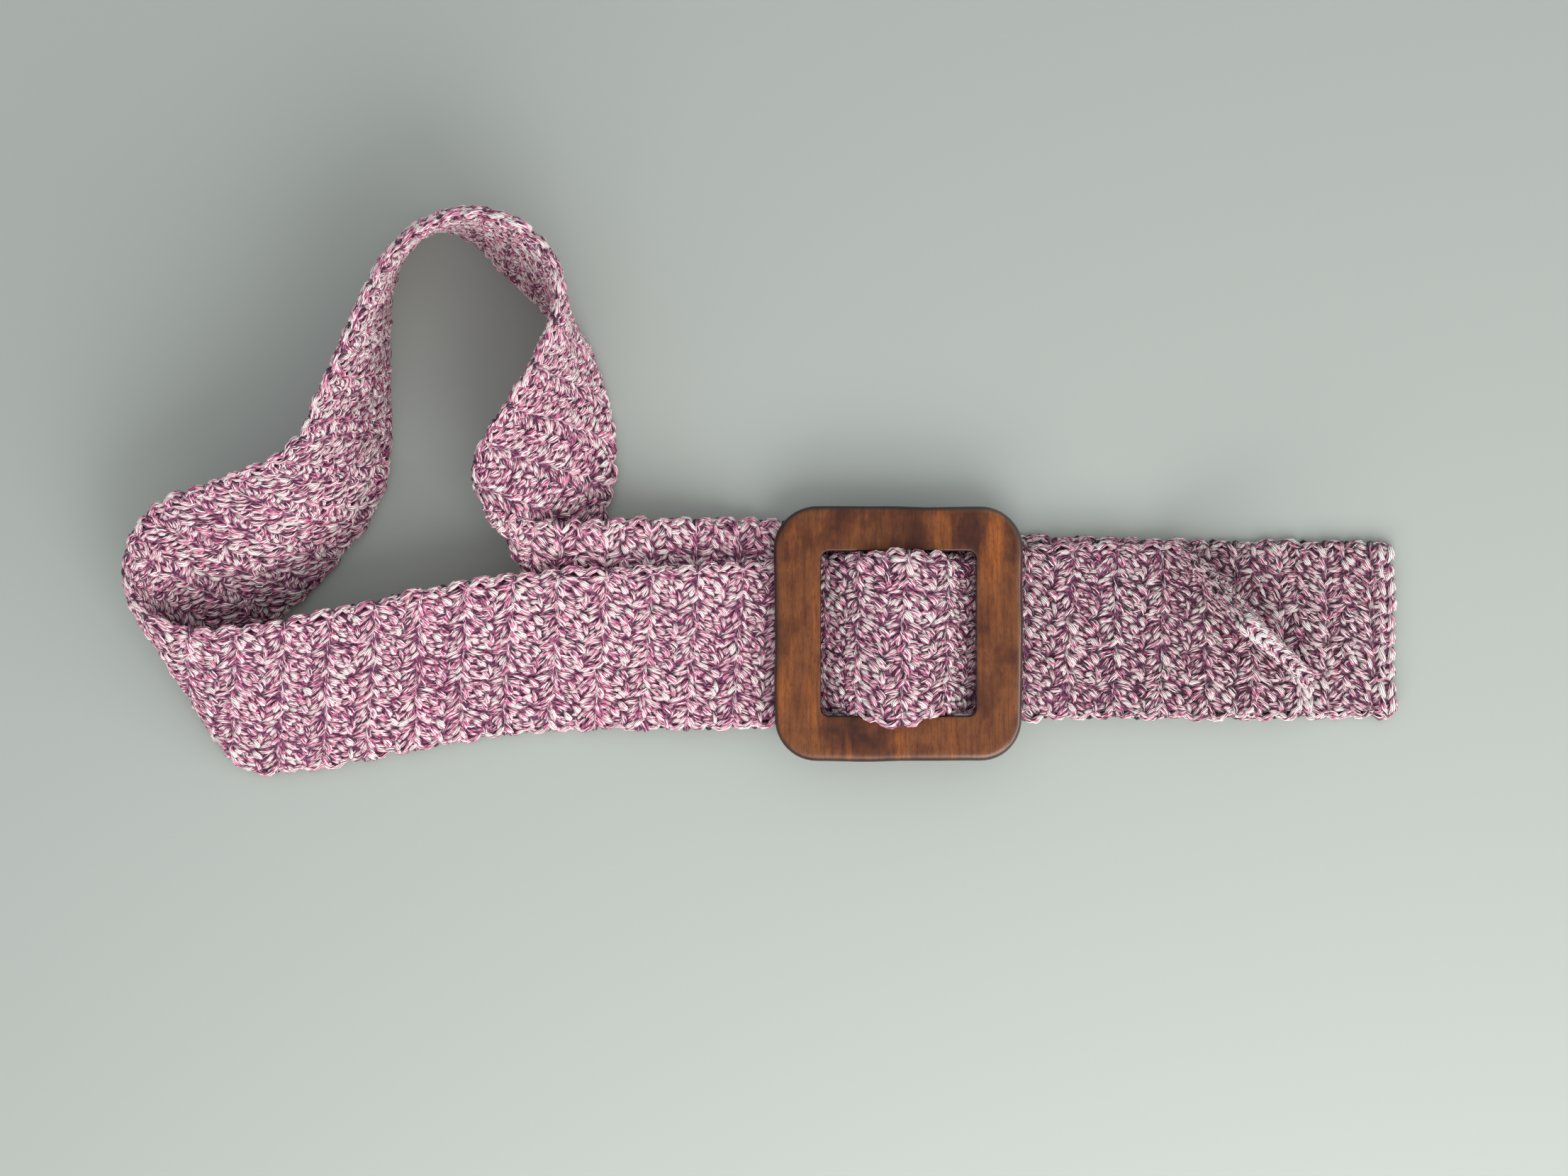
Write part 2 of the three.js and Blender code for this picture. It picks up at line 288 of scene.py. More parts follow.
def rolled(points):
    """Points of the upper tip that lie past the roll line, wound up about it."""
    line = unit(ROLL_LINE_END - ROLL_LINE_START)
    towards = np.array([-line[1], line[0]])
    beyond = (points[..., :2] - ROLL_LINE_START) @ towards
    on_tip = (points[..., 0] > ROLL_LINE_START[0]) & (points[..., 2] > STRAP_THICKNESS)
    beyond = np.where(on_tip & (beyond > 0), beyond, 0)
    angle = np.minimum(beyond / ROLL_RADIUS, ROLL_ANGLE)
    rest = beyond - ROLL_RADIUS * angle
    reach = ROLL_RADIUS * np.sin(angle) + rest * np.cos(angle)
    lift = ROLL_RADIUS * (1 - np.cos(angle)) + rest * np.sin(angle)
    made = points.copy()
    made[..., :2] += (reach - beyond)[..., None] * towards
    made[..., 2] += lift
    return made


def on_cloth(travel, out):
    """Places on the cloth's middle surface. travel counts from the upper tip."""
    share = out / STRAP_WIDTH + 0.5
    own = (1 - share) * run_lengths[:, 1] + share * run_lengths[:, 0]
    own = np.maximum.accumulate(own) * STRAP_LENGTH / own[-1]
    own = np.concatenate([[-END_REACH], own, [STRAP_LENGTH + END_REACH]])
    place = np.interp(travel, own, np.arange(len(own)))
    ends = np.concatenate([[before], fine, [after]])
    low = np.clip(np.floor(place).astype(int), 0, len(ends) - 2)
    mix = (place - low)[:, None]
    raised = ends[low, 0] * (1 - mix) + ends[low + 1, 0] * mix
    resting = ends[low, 1] * (1 - mix) + ends[low + 1, 1] * mix
    return rolled(raised * share + resting * (1 - share))


def cloth_grid(first, last, half_width, step=MAP_STEP):
    """Flat positions, places and outward directions on a regular grid of the cloth."""
    along = np.linspace(first, last, max(2, int(round((last - first) / step)) + 1))
    outs = np.linspace(-half_width, half_width, int(round(2 * half_width / step)) + 1)
    places = np.stack([on_cloth(STRAP_LENGTH - along, out) for out in outs], axis=1)
    down_length = np.gradient(places, along, axis=0)
    over_width = np.gradient(places, outs, axis=1)
    return along, outs, places, unit(np.cross(down_length, over_width))


along, outs, places, outward = cloth_grid(-END_REACH, STRAP_LENGTH + END_REACH, MAP_HALF_WIDTH)


# %% The map as a mesh that the stitches can look things up on
def grid_faces(rows_count, columns_count):
    r, c = np.meshgrid(np.arange(rows_count - 1), np.arange(columns_count - 1), indexing="ij")
    a = (r * columns_count + c).ravel()
    return np.stack([a, a + columns_count, a + columns_count + 1, a + 1], axis=1)


def store(mesh, name, values):
    """A named attribute of a mesh's points: one number or one vector for each."""
    values = np.asarray(values, np.float32)
    kind, field = ("FLOAT", "value") if values.ndim == 1 else ("FLOAT_VECTOR", "vector")
    mesh.attributes.new(name, kind, "POINT").data.foreach_set(field, values.ravel())


def store_uv(mesh, name, uv):
    layer = mesh.uv_layers.new(name=name)
    layer.data.foreach_set("uv", np.asarray(uv, np.float32).ravel())


def to_metres(points):
    return (points + BUCKLE_MIDDLE) * MM


map_faces = grid_faces(len(along), len(outs))
cloth_map = mesh_object("cloth_map", to_metres(places).reshape(-1, 3), map_faces)
flat_sides = [(a - a[0]) / (a[-1] - a[0]) for a in (along, outs)]
flat_uv = np.stack(np.meshgrid(*flat_sides, indexing="ij"), axis=2).reshape(-1, 2)
store_uv(cloth_map.data, "flat", flat_uv[map_faces.ravel()])
store(cloth_map.data, "outward", outward.reshape(-1, 3))
MAP_START = float(along[0]) * MM
MAP_LENGTH = float(along[-1] - along[0]) * MM
MAP_WIDTH = float(outs[-1] - outs[0]) * MM

# %% [markdown]
# ## Plied yarn
# The yarn is soft cotton, spun from several thin plies: cream, pink and mauve, with plum
# shade painted into the grooves between them. Every strand carries a UV map: u runs once
# round it and v runs along it in centimetres. A node group turns that into slanting plies,
# each with its own colour and a groove beside it, the groove in painted shade. It also
# paints shade where a strand dives into the cloth, and towards the tips. Because it reads
# UVs, the pattern stays on the strand.

# %% Helpers for node trees
def node(tree, kind, inputs=None, **settings):
    """A new node with its settings; its inputs are linked to sockets or set to values."""
    made = tree.nodes.new(kind)
    for name, value in settings.items():
        setattr(made, name, value)
    for key, value in (inputs or {}).items():
        if isinstance(value, bpy.types.NodeSocket):
            tree.links.new(value, made.inputs[key])
        else:
            made.inputs[key].default_value = value
    return made


def maths(tree, operation, *values):
    return node(tree, "ShaderNodeMath", dict(enumerate(values)), operation=operation).outputs[0]


def limited(tree, value, low, high):
    return maths(tree, "MINIMUM", maths(tree, "MAXIMUM", value, low), high)


def ramp(tree, fac, stops):
    """A colour ramp with stops of (position, colour), where a colour may be one grey."""
    made = node(tree, "ShaderNodeValToRGB", {0: fac})
    elements = made.color_ramp.elements
    for i, (position, colour) in enumerate(stops):
        stop = elements[i] if i < 2 else elements.new(position)
        stop.position = position
        stop.color = (*colour, 1.0) if isinstance(colour, tuple) else (colour,) * 3 + (1.0,)
    return made.outputs[0]


def mix_colour(tree, fac, a, b, blend="MIX"):
    a, b = ((*colour, 1.0) if isinstance(colour, tuple) else colour for colour in (a, b))
    made = node(tree, "ShaderNodeMix", {0: fac, 6: a, 7: b}, data_type="RGBA", blend_type=blend)
    return made.outputs[2]


def noise(tree, vector, scale, detail=2.0, roughness=0.5):
    return node(tree, "ShaderNodeTexNoise", {
        "Vector": vector, "Scale": scale, "Detail": detail, "Roughness": roughness,
    }).outputs["Fac"]


def combine(tree, x, y, z):
    return node(tree, "ShaderNodeCombineXYZ", {0: x, 1: y, 2: z}).outputs[0]


def separate(tree, vector):
    return node(tree, "ShaderNodeSeparateXYZ", {0: vector}).outputs


def attribute(tree, name):
    return node(tree, "ShaderNodeAttribute", attribute_name=name).outputs["Fac"]


def object_place(tree):
    return tree.nodes.new("ShaderNodeTexCoord").outputs["Object"]


def shader_group(name, inputs, outputs):
    """A shader group, its input sockets and its output node's sockets."""
    tree = bpy.data.node_groups.new(name, "ShaderNodeTree")
    for socket, value in inputs.items():
        made = tree.interface.new_socket(socket, in_out="INPUT", socket_type="NodeSocketFloat")
        made.default_value = value
    for socket, kind in outputs.items():
        tree.interface.new_socket(socket, in_out="OUTPUT", socket_type="NodeSocket" + kind)
    return tree, tree.nodes.new("NodeGroupInput").outputs, tree.nodes.new("NodeGroupOutput").inputs


def dress(material, shader, group, values, bump_distance):
    """Puts a group's colour and relief on a material. Returns the group's sockets."""
    tree = material.node_tree
    made = node(tree, "ShaderNodeGroup", values, node_tree=group).outputs
    tree.links.new(made["Colour"], shader.inputs["Base Color"])
    bump(material, shader, made["Height"], bump_distance)
    return made


def bump(material, shader, height, distance):
    tree = material.node_tree
    made = node(tree, "ShaderNodeBump", {"Distance": distance, "Strength": 1.0, "Height": height})
    tree.links.new(made.outputs[0], shader.inputs["Normal"])


# %% Node group: plied yarn
PLIES, TWIST, GROOVE_SHADE = 10.0, 3.5, 0.85
# painted shade colours: in the grooves between plies, and where strands dive into the cloth
PLY_SHADE = (0.09, 0.014, 0.055)
DEEP_SHADE = (0.022, 0.005, 0.026)
PLY_STOPS = [
    (0.0, (0.08, 0.014, 0.055)), (0.14, (0.37, 0.060, 0.175)), (0.32, (0.80, 0.21, 0.39)),
    (0.48, (0.97, 0.41, 0.55)), (0.57, (1.0, 0.87, 0.84)), (1.0, (0.98, 0.98, 0.93)),
]
# how much painted deep shade a strand gets, by how far it stands out of the cloth
PAINTED_DIVE_SHADE_STOPS = [(0.0, 0.95), (0.4, 0.54), (0.8, 0.0)]
PAINTED_DIVE_SHADE_SHIFT = -0.34
WANDER_SCALE, WANDER = 5.0, 1.6
STREAK_ACROSS, STREAK_WITHIN, STREAK_ALONG = 3.7, 0.5, 3.6
STREAK_GAIN, TONE_GAIN, GROOVE_POWER = 3.0, 0.22, 1.8
# painted shade towards the tips, along X: how dark it gets, and how much more its dark parts
TIP_PAINTED_SHADE_SLOPE, TIP_PAINTED_SHADE_MIDDLE, TIP_PAINTED_SHADE_LIMITS = -0.5, 1.03, (0.92, 1.06)
TIP_PAINTED_DEEPENING_SLOPE, TIP_PAINTED_DEEPENING_LIMIT = 5.0, 0.6


def plied_yarn_group():
    tree, given, result = shader_group(
        "plied_yarn", {"Plies": PLIES, "Twist": TWIST, "Groove shade": GROOVE_SHADE, "Cream": 0.0},
        {"Colour": "Color", "Height": "Float"},
    )
    around, length, _ = separate(tree, node(tree, "ShaderNodeUVMap", uv_map="yarn").outputs[0])
    # each strand, and each stitch that uses it again, gets plies of its own
    tone = maths(tree, "MULTIPLY_ADD", attribute(tree, "stitch_tone"), 7.0, attribute(tree, "tone"))
    tone = maths(tree, "FRACT", tone)
    start = maths(tree, "MULTIPLY", tone, 97.0)
    # lanes round the strand, one for each ply, slanting as they go along it
    lane = maths(tree, "MULTIPLY", around, given["Plies"])
    lane = maths(tree, "ADD", lane, maths(tree, "MULTIPLY", length, given["Twist"]))
    wander = combine(tree, maths(tree, "MULTIPLY", length, WANDER_SCALE), start, 0.0)
    lane = maths(tree, "ADD", lane, maths(tree, "MULTIPLY", noise(tree, wander, 1.0), WANDER))
    inside, number = maths(tree, "FRACT", lane), maths(tree, "FLOOR", lane)
    hump = maths(tree, "SINE", maths(tree, "MULTIPLY", inside, math.pi))
    # every ply is pink in places and cream in others, in long tapering streaks
    across = maths(tree, "MULTIPLY", inside, STREAK_WITHIN)
    across = maths(tree, "MULTIPLY_ADD", number, STREAK_ACROSS, across)
    streak = combine(tree, across, maths(tree, "MULTIPLY", length, STREAK_ALONG), start)
    streak = noise(tree, streak, 1.0, 1.0)
    streak = maths(tree, "MULTIPLY_ADD", streak, STREAK_GAIN, -1.0)
    shift = maths(tree, "MULTIPLY_ADD", tone, TONE_GAIN, -TONE_GAIN / 2)
    shift = maths(tree, "ADD", shift, given["Cream"])
    # painted shade: a strand is painted plum where it dives into the cloth, clean where it stands
    painted_dive_shade = ramp(tree, attribute(tree, "rise"), PAINTED_DIVE_SHADE_STOPS)
    shift = maths(tree, "MULTIPLY_ADD", painted_dive_shade, PAINTED_DIVE_SHADE_SHIFT, shift)
    colour = ramp(tree, maths(tree, "ADD", streak, shift), PLY_STOPS)
    # painted shade: the groove beside each ply is darkened towards PLY_SHADE
    shade = maths(tree, "POWER", maths(tree, "SUBTRACT", 1.0, hump), GROOVE_POWER)
    shade = maths(tree, "MULTIPLY", shade, given["Groove shade"])
    colour = mix_colour(tree, shade, colour, PLY_SHADE)
    colour = mix_colour(tree, painted_dive_shade, colour, DEEP_SHADE)
    # painted shade: the yarn is painted darker towards the tips, its darker parts more than its
    # lights
    x = separate(tree, object_place(tree))[0]
    tip_painted_shade = maths(tree, "MULTIPLY_ADD", x, TIP_PAINTED_SHADE_SLOPE, TIP_PAINTED_SHADE_MIDDLE)
    tip_painted_shade = limited(tree, tip_painted_shade, *TIP_PAINTED_SHADE_LIMITS)
    power = limited(tree, maths(tree, "MULTIPLY", x, TIP_PAINTED_DEEPENING_SLOPE), 0.0, TIP_PAINTED_DEEPENING_LIMIT)
    red = node(tree, "ShaderNodeSeparateColor", {0: colour}).outputs[0]
    tip_painted_shade = maths(tree, "MULTIPLY", tip_painted_shade, maths(tree, "POWER", red, power))
    colour = mix_colour(tree, 1.0, colour, tip_painted_shade, "MULTIPLY")
    tree.links.new(colour, result["Colour"])
    tree.links.new(hump, result["Height"])
    return tree


yarn_group = plied_yarn_group()
PLY_RELIEF = 0.00022


def yarn_material(name, cream):
    material, shader = new_material(name)
    dress(material, shader, yarn_group, {"Cream": cream}, PLY_RELIEF)
    shader.inputs["Roughness"].default_value = 0.82
    shader.inputs["Sheen Weight"].default_value = 0.15
    shader.inputs["Specular IOR Level"].default_value = 0.25
    return material


yarn = yarn_material("cotton_yarn", 0.0)
# painted highlight: the chains' yarn is the same yarn painted lighter, for the light the raised
# chains catch
chain_yarn_painted_lighter = yarn_material("cotton_yarn_of_chains_painted_lighter", 0.16)

# %% [markdown]
# ## The inside of the cloth, painted as shade
# Between the strands one sees plum shade. A thin closed sheet runs through the middle of
# the strap, a little narrower than the stitches; it is the cloth that everything else is
# worked on.

# %% Inner cloth
CORE_HALF_THICKNESS, CORE_HALF_WIDTH = 1.3, 25.0
CORE_END_MARGIN, CORE_STEP = 1.0, 3.0

# painted shade: the sheet is coloured dark plum, standing in for the shade between strands
painted_shade_core_material, core_shader = new_material("painted_plum_shade")
core_tree = painted_shade_core_material.node_tree
core_speck = noise(core_tree, object_place(core_tree), 900.0, 3.0)
painted_shade_core_colour = ramp(core_tree, core_speck, [
    (0.3, (0.03, 0.006, 0.025)), (0.5, (0.11, 0.022, 0.07)), (0.7, (0.34, 0.10, 0.20)),
])
core_tree.links.new(painted_shade_core_colour, core_shader.inputs["Base Color"])
core_shader.inputs["Roughness"].default_value = 0.95
bump(painted_shade_core_material, core_shader, core_speck, 0.0004)


def closed_sheet(name, places, outward, half_thickness, material):
    """A closed shell around a grid of places, with both faces pointing away from it."""
    n, m = places.shape[:2]
    layers = [
        (places + outward * side * half_thickness).reshape(-1, 3) for side in (1, -1)
    ]
    top = grid_faces(n, m)
    rim = [i * m for i in range(n)] + [(n - 1) * m + j for j in range(1, m)]
    rim += [i * m + m - 1 for i in range(n - 2, -1, -1)] + list(range(m - 2, 0, -1))
    sides = [(b, a, a + n * m, b + n * m) for a, b in zip(rim, rim[1:] + rim[:1])]
    return mesh_object(
        name, to_metres(np.vstack(layers)), [*top, *(top[:, ::-1] + n * m), *sides], material,
    )


_, _, core_places, core_outward = cloth_grid(
    CORE_END_MARGIN, STRAP_LENGTH - CORE_END_MARGIN, CORE_HALF_WIDTH, CORE_STEP,
)
inner_cloth = closed_sheet(
    "inner_cloth", core_places, core_outward, CORE_HALF_THICKNESS, painted_shade_core_material,
)

# %% [markdown]
# ## One stitch
# Seen from its face, a crochet stitch is a handful of short strands: a fan that dives into
# the groove before it, small bent ones, plump slanting ones, long parallel ones leaning
# the other way, and a steep one that bridges the groove. Each strand is a closed
# rice-grain shape of some forty triangles, since it is repeated thousands of times. Six
# stitches with small differences keep the cloth from looking stamped.

# %% A strand
# sides round a strand, and its radius at each ring from one end to the other
FULL_STRAND = (5, [0.66, 1.0, 1.0, 0.66])
PLAIN_STRAND = (4, [0.8, 1.0, 0.8])
FLATTENING, TIP_SHARE, TIP_UV = 0.9, 0.2, 0.02
UV_CENTIMETRE = 10.0


def strand(start, end, bow, low, high, width, tone, kind=FULL_STRAND, climb=0.0):
    """Vertices, faces, UVs and tone of one strand. start and end are (along, out), bow
    bends it sideways, low and high are the heights of its ends and its middle, and climb is
    how much higher it ends than it starts."""
    sides, taper = kind
    rings = len(taper)
    start, end = np.array(start, float), np.array(end, float)
    run = end - start
    length = np.linalg.norm(run)
    t = np.linspace(0, 1, rings)
    arch = 4 * t * (1 - t)
    flat = start + t[:, None] * run + arch[:, None] * bow * np.array([-run[1], run[0]]) / length
    height = low + (high - low) * arch**0.7 + (t - 0.5) * climb
    line = np.column_stack([flat, height])
    tangent = unit(np.gradient(line, axis=0))
    sideways = unit(np.cross((0.0, 0.0, 1.0), tangent))
    over = np.cross(tangent, sideways) * FLATTENING
    turn = 2 * math.pi * np.arange(sides) / sides + math.pi / 2
    cos, sin = np.cos(turn)[None, :, None], np.sin(turn)[None, :, None]
    radius = width / 2 * np.array(taper)[:, None, None]
    ring = line[:, None] + radius * (cos * sideways[:, None] + sin * over[:, None])
    tips = line[[0, -1]] + tangent[[0, -1]] * [[-width * TIP_SHARE], [width * TIP_SHARE]]
    points = np.vstack([ring.reshape(-1, 3), tips])
    v = t * length / UV_CENTIMETRE
    faces, uvs = [], []
    around = [(k, (k + 1) % sides, k / sides, (k + 1) / sides) for k in range(sides)]
    for r in range(rings - 1):
        for k, n, u0, u1 in around:
            a, b = r * sides + k, r * sides + n
            faces.append((a, b, b + sides, a + sides))
            uvs += [(u0, v[r]), (u1, v[r]), (u1, v[r + 1]), (u0, v[r + 1])]
    last = (rings - 1) * sides
    for k, n, u0, u1 in around:
        middle = (u0 + u1) / 2
        faces += [(n, k, last + sides), (last + k, last + n, last + sides + 1)]
        uvs += [(u1, 0), (u0, 0), (middle, -TIP_UV)]
        uvs += [(u0, v[-1]), (u1, v[-1]), (middle, v[-1] + TIP_UV)]
    return points, faces, uvs, tone


def strands_mesh(name, strands, rise_at):
    """One mesh of many strands, in metres, with its UV map and its attributes. rise_at says
    how far each point stands out of the cloth, from 0 to 1."""
    faces, uvs, tones, start = [], [], [], 0
    for own_points, own_faces, own_uvs, tone in strands:
        faces += [tuple(i + start for i in face) for face in own_faces]
        uvs += own_uvs
        tones += [tone] * len(own_points)
        start += len(own_points)
    points = np.vstack([own_points for own_points, *_ in strands])
    made = mesh_object(name, points * MM, faces, yarn)
    store_uv(made.data, "yarn", uvs)
    store(made.data, "tone", tones)
    store(made.data, "rise", np.clip(rise_at(points), 0, 1))
    return made


# %% The stitch's strands
RIB_SPACING = 14.15
STITCH_SPACING = 10.4
VARIANTS = 6
STITCH_MIDDLE = (7.1, 7.4)

# Two stitches, one under the other, seen with the rib upright. For each strand: start and
# end (across the rib, down the rib), sideways bow, height of its ends and its middle, width
STITCH_STRANDS = [
    # steep ones that bridge the groove
    ((-0.2, 4.5), (1.5, 9.0), 0.45, 0.8, 1.75, 2.1),
    ((-0.3, 9.1), (2.1, 13.4), 0.40, 0.8, 1.65, 2.0),
    # fans that dive into the groove
    ((0.8, 2.0), (6.2, 5.2), 0.45, 0.9, 1.75, 1.45),
    ((0.9, 3.5), (5.0, 5.9), 0.35, 0.9, 1.60, 1.35),
    ((1.1, 4.7), (3.0, 7.0), 0.30, 0.9, 1.60, 1.65),
    ((0.9, 7.3), (5.0, 9.2), 0.40, 0.9, 1.75, 1.45),
    ((1.7, 8.8), (5.6, 11.5), 0.35, 0.9, 1.65, 1.55),
    ((2.6, 10.9), (5.3, 12.9), 0.30, 0.9, 1.50, 1.35),
    # plump ones in the middle of the rib
    ((4.6, 5.9), (6.9, 9.5), 0.30, 0.9, 1.70, 2.00),
    ((6.6, 4.3), (8.9, 7.6), 0.35, 1.0, 1.95, 1.95),
    ((6.3, 0.0), (8.2, 3.2), 0.30, 1.0, 1.80, 1.85),
    ((4.2, 2.3), (6.9, 3.0), 0.30, 0.9, 1.60, 1.50),
    # small bent ones
    ((4.9, 10.1), (8.0, 10.8), 0.35, 0.9, 1.65, 1.45),
    ((5.0, 11.8), (8.0, 11.8), -0.3, 0.9, 1.60, 1.45),
    ((8.1, 8.3), (8.9, 12.4), 0.30, 0.9, 1.60, 1.50),
    # long ones leaning the other way
    ((8.4, 5.0), (13.6, 4.0), 0.35, 0.9, 1.75, 1.50),
    ((8.2, 3.7), (12.8, 2.2), 0.30, 0.9, 1.65, 1.50),
    ((9.2, 8.3), (12.4, 5.8), 0.30, 0.9, 1.65, 1.50),
    ((11.2, 8.8), (13.2, 6.1), 0.25, 0.9, 1.75, 1.60),
    ((12.0, 10.8), (13.8, 7.7), 0.25, 0.9, 1.60, 1.50),
    ((9.6, 10.6), (11.9, 9.2), 0.25, 0.9, 1.50, 1.40),
    ((9.4, 13.0), (12.6, 11.4), 0.30, 0.9, 1.60, 1.50),
    ((11.6, 13.0), (15.2, 10.1), 0.35, 0.9, 1.80, 1.60),
]
# low strands that lie in the groove on either side of a rib
SEAM_STRANDS = [
    ((-7.3, -5.6), (-6.7, 0.4), 2.5), ((-6.8, -0.4), (-7.4, 5.6), 2.5),
    ((6.8, -5.6), (7.4, 0.4), 2.3), ((7.4, -0.4), (6.8, 5.6), 2.3),
]
FILLERS, FILLER_TRIES, FILLER_LENGTH = 12, 60, 4.2
HIDING_SHARE = 0.45
CELL = np.array([RIB_SPACING, STITCH_SPACING])
CELL_POINTS = np.stack(np.meshgrid(
    *((np.arange(count) + 0.5) / count * side for count, side in zip((28, 21), CELL)),
), axis=2).reshape(-1, 2)
NEIGHBOURS = [(i, j) for i in (-1, 0, 1) for j in (-1, 0, 1)]


def hidden_by(start, end, width):
    """Which points of the cell a strand hides, when cells lie side by side for ever."""
    run = end - start
    hidden = np.zeros(len(CELL_POINTS), bool)
    for cell in NEIGHBOURS:
        away = CELL_POINTS + CELL * cell - start
        share = np.clip(away @ run / (run @ run), 0, 1)
        hidden |= lengths(away - share[:, None] * run) < width * HIDING_SHARE
    return hidden


def stitch_variant(index):
    """Two stitches with every strand a little different, over low ones that fill the gaps."""
    draw = random.Random(100 + index)
    made = []
    hidden = np.zeros(len(CELL_POINTS), bool)
    for start, end, bow, low, high, width in STITCH_STRANDS:
        shake = [draw.gauss(0, 0.30) for _ in range(4)]
        first, last = (
            np.array([x - STITCH_MIDDLE[0] + shake[k], STITCH_MIDDLE[1] - y + shake[k + 1]])
            for k, (x, y) in ((0, start), (2, end))
        )
        width *= draw.uniform(1.0, 1.2)
        hidden |= hidden_by(first, last, width)
        bow += draw.gauss(0, 0.15)
        high += draw.gauss(0, 0.15)
        made.append(strand(first, last, bow, low, high, width, draw.random()))
    for start, end, width in SEAM_STRANDS:
        hidden |= hidden_by(np.array(start), np.array(end), width)
        bow = draw.gauss(0, 0.3)
        made.append(strand(start, end, bow, 0.55, 0.95, width, draw.random(), PLAIN_STRAND))
    for _ in range(FILLERS):
        # of many low strands, the one that hides most of what still shows
        best = None
        for _ in range(FILLER_TRIES):
            middle = np.array([draw.uniform(-0.5, 0.5), draw.uniform(-0.5, 0.5)]) * CELL
            slant = draw.gauss(-0.7 if middle[0] < 0 else 0.5, 0.4)
            half_run = np.array([math.cos(slant), math.sin(slant)]) * FILLER_LENGTH / 2
            ends, width = (middle - half_run, middle + half_run), draw.uniform(1.7, 2.2)
            hides = hidden_by(*ends, width)
            gain = int((hides & ~hidden).sum())
            if best is None or gain > best[0]:
                best = (gain, ends, width, hides)
        _, ends, width, hides = best
        hidden |= hides
        bow, high = draw.gauss(0, 0.2), draw.uniform(1.1, 1.45)
        made.append(strand(*ends, bow, 0.6, high, width, draw.random(), PLAIN_STRAND))
    return made


def shapes_collection(name, lists, rise_at):
    """A collection of meshes for a tree to pick from. It isn't in the scene."""
    shapes = bpy.data.collections.new(name)
    for i, strands in enumerate(lists):
        made = strands_mesh(f"{name}_{i}", strands, rise_at)
        scene.collection.objects.unlink(made)
        shapes.objects.link(made)
    return shapes


def rise_of_stitch(points):
    return (points[:, 2] - 0.7) / 1.7


stitches = shapes_collection("stitch", map(stitch_variant, range(VARIANTS)), rise_of_stitch)

# %% [markdown]
# ## Edges and ends
# Along each long edge the yarn turns round at the end of every row, which makes one small
# rounded bump a row. The two ends are closed with a chain: pairs of strands in a V, one
# pair a stitch. Both are shapes of the same kind as a stitch.

# %% Edge loops and chain links
ROW_SPACING = RIB_SPACING / 2


def edge_variant(index):
    """One bump of the long edge: strands over it, under it and round its nose."""
    draw = random.Random(300 + index)
    w = draw.uniform(0.93, 1.08)

    def bent(*shape, kind=FULL_STRAND):
        return strand(*shape, draw.random(), kind)

    made = []
    for lift in (1, -1):
        made += [
            bent((-3.2, -1.2), (0.6, 0.9), 0.5 * lift, 0.5 * lift, 1.25 * lift, 1.6 * w),
            bent((0.2, 0.9), (3.4, -1.4), 0.3, 0.5 * lift, 1.15 * lift, 1.5 * w),
            bent((1.6, -1.5), (5.4, -1.3), 0.5, 0.5 * lift, 0.95 * lift, 2.2, kind=PLAIN_STRAND),
        ]
    return made + [
        bent((-3.0, -0.3), (2.8, -0.2), 1.5, 0.0, 0.25, 1.9 * w),
        bent((-0.6, 0.6), (4.2, -0.2), 0.6, -0.3, -0.5, 1.7 * w),
        bent((1.5, -0.4), (5.5, -0.4), 0.3, 0.0, 0.1, 2.3, kind=PLAIN_STRAND),
    ]


def chain_variant(index):
    """One link of the chain that closes an end, laid along the out direction: a V on either
    face, one on the nose, and a core."""
    draw = random.Random(500 + index)
    made = [
        strand(
            (1.75 * side, -2.6), (0.55 * side, 2.9), -0.35 * side, 1.0 * lift, 2.0 * lift,
            draw.uniform(2.1, 2.35), draw.random(),
        ) for side in (1, -1) for lift in (1, -1)
    ]
    made += [
        strand(
            (1.9, -2.0), (2.5, 1.9), 0.0, 0.85 * lift, 0.95 * lift, 2.1, draw.random(),
            climb=-1.7 * lift,
        ) for lift in (1, -1)
    ]
    core = strand((-0.4, -2.8), (0.2, 2.8), 0.4, 0.0, 0.2, 3.0, draw.random(), PLAIN_STRAND)
    return made + [core]


LOOP_RADIUS = 2.3
LOOP_CORNERS = 5


def loose_loop():
    """A small loop of yarn that has slipped out of the last row."""
    draw = random.Random(700)
    turn = 2 * math.pi * np.arange(LOOP_CORNERS + 1) / LOOP_CORNERS
    corners = LOOP_RADIUS * np.column_stack([np.cos(turn), 0.8 * np.sin(turn)])
    return [
        strand(a, b, -0.45, 1.6, 1.9, 1.5, draw.random())
        for a, b in zip(corners[:-1], corners[1:])
    ]


def rise_of_edge(points):
    return np.hypot(points[:, 1] + 1.6, points[:, 2]) / 2.5


def rise_of_chain(points):
    return np.hypot(np.maximum(points[:, 0], 0), points[:, 2]) / 2.2


edge_loops = shapes_collection("edge_loop", map(edge_variant, range(VARIANTS)), rise_of_edge)
chain_links = shapes_collection("chain_link", map(chain_variant, range(VARIANTS)), rise_of_chain)
loose_loops = shapes_collection("loose_loop", [loose_loop()], rise_of_chain)

# %% [markdown]
# ## Working the stitches onto the cloth
# A flat field is a rectangle of rows: for each place a node picks one of the six shapes
# and shakes it a little. There is a field for each face and each edge. Their instances are
# made real, and then every point is looked up on the cloth map: its flat place gives the
# place on the bent cloth, and its height is measured along the outward direction there.
# This is how a flat pattern can be laid over any shape.

# %% One flat field of shapes
SIZE_SHAKE = 0.08


